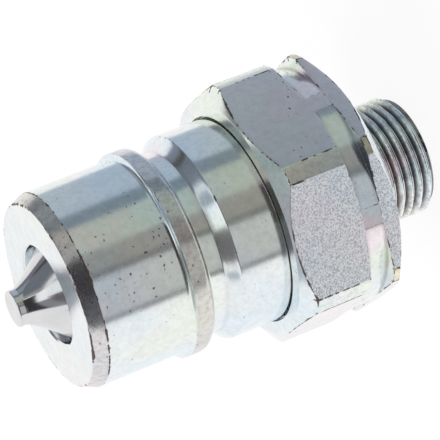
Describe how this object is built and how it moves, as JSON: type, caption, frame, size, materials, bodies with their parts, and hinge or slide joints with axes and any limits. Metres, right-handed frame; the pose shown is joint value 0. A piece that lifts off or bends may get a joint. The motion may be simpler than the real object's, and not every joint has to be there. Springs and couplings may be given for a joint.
{
  "type": "liquid cooling quick coupling",
  "caption": "Plug half of a poppet-valve quick coupling: round nose with collar and locking groove, hexagon adapter with a ring groove, threaded stud with a cone tube socket.",
  "frame": {"origin": "centre of the stud's end face, which the part stands on", "axes": "+Z along the coupling's axis, from the stud to the nose; +Y normal to a flat of the hexagon"},
  "size_m": [0.0401, 0.036, 0.0643],
  "materials": {
    "adapter_plating": "bright zinc plating, flats finely blasted",
    "body_plating": "turned and bright zinc plated",
    "poppet_steel": "turned bright",
    "guide_steel": "plated",
    "spring_steel": "drawn wire",
    "seal_rubber": "smooth"
  },
  "bodies": {
    "housing": {"hex_adapter": "adapter_plating", "plug_body": "body_plating", "body_seal": "seal_rubber", "valve_guide": "guide_steel", "valve_spring": "spring_steel"},
    "valve": {"poppet": "poppet_steel", "valve_seal": "seal_rubber"}
  },
  "joints": [
    {"name": "valve_slide", "type": "slide", "parent": "housing", "child": "valve", "axis": [0, 0, -1], "range_m": [0, 0.005], "stiffness_N_per_m": 1500, "springref_m": -0.006, "deforming": ["valve_spring"]}
  ]
}
